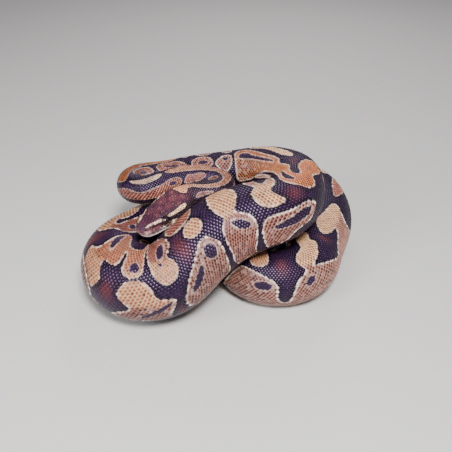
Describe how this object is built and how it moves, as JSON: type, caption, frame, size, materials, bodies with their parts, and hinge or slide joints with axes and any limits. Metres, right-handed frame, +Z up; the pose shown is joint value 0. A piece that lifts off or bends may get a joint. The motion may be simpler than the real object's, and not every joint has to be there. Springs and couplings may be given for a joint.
{
  "type": "coiled ball python model",
  "caption": "Life-size ball python resting in a loose coil, head laid on its own body, tail tucked inside; a still, rigid display animal.",
  "frame": {"origin": "centre of the bounding box at the level of the ground", "axes": "+Z up; +X and +Y level, +X towards the outer coil's side and away from the left lobe, -Y towards the side the snout is turned to"},
  "size_m": [0.2348, 0.206, 0.1023],
  "materials": {
    "scaled_skin": "smooth overlapping scales, blackish brown with gold and tan blotches, satin with a faint violet sheen",
    "eye": "dark brown, wet and glossy, upright slit pupil"
  },
  "bodies": {
    "root": {"head": "scaled_skin", "neck": "scaled_skin", "trunk_1": "scaled_skin", "trunk_2": "scaled_skin", "trunk_3": "scaled_skin", "trunk_4": "scaled_skin", "trunk_5": "scaled_skin", "trunk_6": "scaled_skin", "trunk_7": "scaled_skin", "trunk_8": "scaled_skin", "trunk_9": "scaled_skin", "tail": "scaled_skin", "eye_left": "eye", "eye_right": "eye"}
  },
  "joints": []
}
